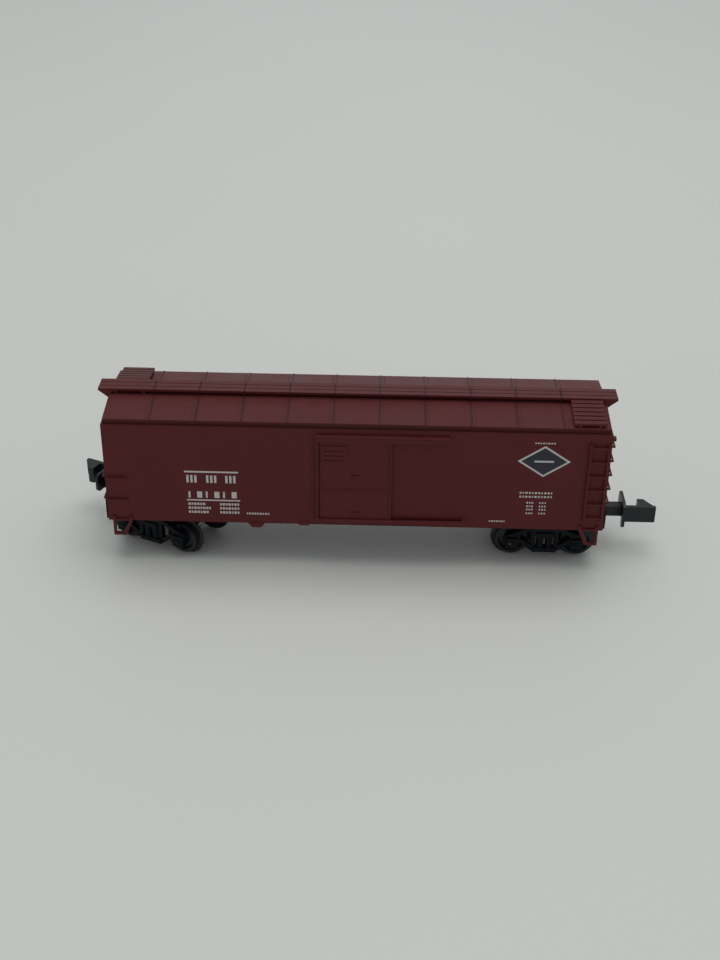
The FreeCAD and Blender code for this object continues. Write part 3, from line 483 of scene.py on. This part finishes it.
def data_lines(shape):
    """Three lines of dashes in two columns, and one more by the sill, in place of data."""
    for level, end in ((10.85, -23.4), (10.1, -22.6), (9.35, -23.0)):
        add_dashes(shape, (-26.4, end), level, height=0.42, widths=(0.34, 0.24, 0.4), gap=0.14)
        add_dashes(shape, (-21.4, -18.2), level, height=0.42, widths=(0.26, 0.36), gap=0.15)
    add_dashes(shape, (-17.2, -13.4), 9.25, height=0.34, widths=(0.22, 0.3), gap=0.16)


def badge_marks(shape):
    """The badge's pale edge and the bar across its middle, with a row of dashes above."""
    add_diamond(shape, BADGE, BADGE_EDGE, layer=1)
    across = (BADGE[0] - 1.5, BADGE[0] + 1.5)
    add_patch(shape, x=across, z=(BADGE[1] - 0.16, BADGE[1] + 0.16), layer=3)
    add_dashes(shape, (27.5, 30.9), 23.1, height=0.25, widths=(0.2, 0.3), gap=0.16)


def class_lines(shape):
    """Two lines of dashes over two narrow columns, and one more by the sill, under the badge."""
    for level in (14.2, 13.5):
        add_dashes(shape, (25.7, 31.3), level, height=0.34, widths=(0.3, 0.2, 0.36), gap=0.2)
    for level in (12.4, 11.75, 11.15, 10.45):
        add_dashes(shape, (26.9, 28.1), level, height=0.3, widths=(0.26, 0.2), gap=0.16)
        add_dashes(shape, (28.9, 30.3), level, height=0.3, widths=(0.2, 0.24), gap=0.2)
    add_dashes(shape, (21.2, 23.9), 8.85, height=0.26, widths=(0.2, 0.28), gap=0.14)


def printed_marks(side, turn):
    """All white print of one wall as one piece, and the badge's dark field as another."""
    white = bmesh.new()
    for draw in (name_bars, number_bars, data_lines, badge_marks, class_lines):
        draw(white)
    bmesh.ops.transform(white, matrix=turn, verts=white.verts)
    make_piece(f"{side}_white_marks", white, "car", white_ink)
    field = bmesh.new()
    add_diamond(field, BADGE, BADGE_FIELD, layer=2)
    bmesh.ops.transform(field, matrix=turn, verts=field.verts)
    make_piece(f"{side}_badge_field", field, "car", dark_ink)


roof_rivets()
for side, turn in SIDES.items():
    guide_rivets(side, turn)
    door_rivets(side, turn)
    printed_marks(side, turn)


# ---------------------------------------------------------------- floor, light and camera


FLOOR_HALF = 3.0


def make_floor():
    shape = bmesh.new()
    bmesh.ops.create_grid(shape, x_segments=1, y_segments=1, size=FLOOR_HALF)
    mesh = bpy.data.meshes.new("floor")
    shape.to_mesh(mesh)
    shape.free()
    mesh.materials.append(pale_floor("pale_card"))
    floor = bpy.data.objects.new("floor", mesh)
    bpy.context.collection.objects.link(floor)


def make_lamp(name, place, aim, size, power, colour):
    """A round soft lamp at a place, pointed at its aim."""
    data = bpy.data.lights.new(name, "AREA")
    data.shape = "DISK"
    data.size = size
    data.energy = power
    data.color = colour
    lamp = bpy.data.objects.new(name, data)
    lamp.location = place
    lamp.rotation_euler = (Vector(aim) - Vector(place)).to_track_quat("-Z", "Y").to_euler()
    bpy.context.collection.objects.link(lamp)


def make_sky():
    """Even, faint light from all round."""
    world = bpy.data.worlds.new("soft_room")
    world.use_nodes = True
    sky = world.node_tree.nodes["Background"]
    sky.inputs["Color"].default_value = rgb(0.97, 1.0, 0.99)
    sky.inputs["Strength"].default_value = 0.385
    bpy.context.scene.world = world


CAMERA_PLACE = (0.00394, -0.19402, 0.12578)
CAMERA_LENS = 51.76


def make_camera():
    """Looks down on the near side from the front."""
    pitch = math.radians(30.667)
    yaw = math.radians(-1.003)
    roll = math.radians(0.746)
    reach = math.cos(pitch)
    forward = Vector((math.sin(yaw) * reach, math.cos(yaw) * reach, -math.sin(pitch)))
    level = Vector((math.cos(yaw), -math.sin(yaw), 0))
    upright = level.cross(forward)
    right = level * math.cos(roll) + upright * math.sin(roll)
    up = upright * math.cos(roll) - level * math.sin(roll)
    data = bpy.data.cameras.new("camera")
    data.sensor_width = 36
    data.lens = CAMERA_LENS
    data.clip_start = 0.01
    data.clip_end = 20
    camera = bpy.data.objects.new("camera", data)
    turn = Matrix((right, up, -forward)).transposed().to_4x4()
    camera.matrix_world = Matrix.Translation(CAMERA_PLACE) @ turn
    bpy.context.collection.objects.link(camera)
    bpy.context.scene.camera = camera


make_floor()
make_lamp(
    "overhead_lamp", place=(0.04, 0.07, 0.8), aim=(0, 0, 0), size=0.75, power=2.4, colour=(1.0, 0.995, 0.98)
)
make_lamp(
    "rear_lamp", place=(0.0, 0.75, 0.26), aim=(0, 0, 0.02), size=0.45, power=0.16, colour=(0.98, 0.99, 1.0)
)
make_sky()
make_camera()
bpy.context.scene.view_settings.view_transform = "Standard"
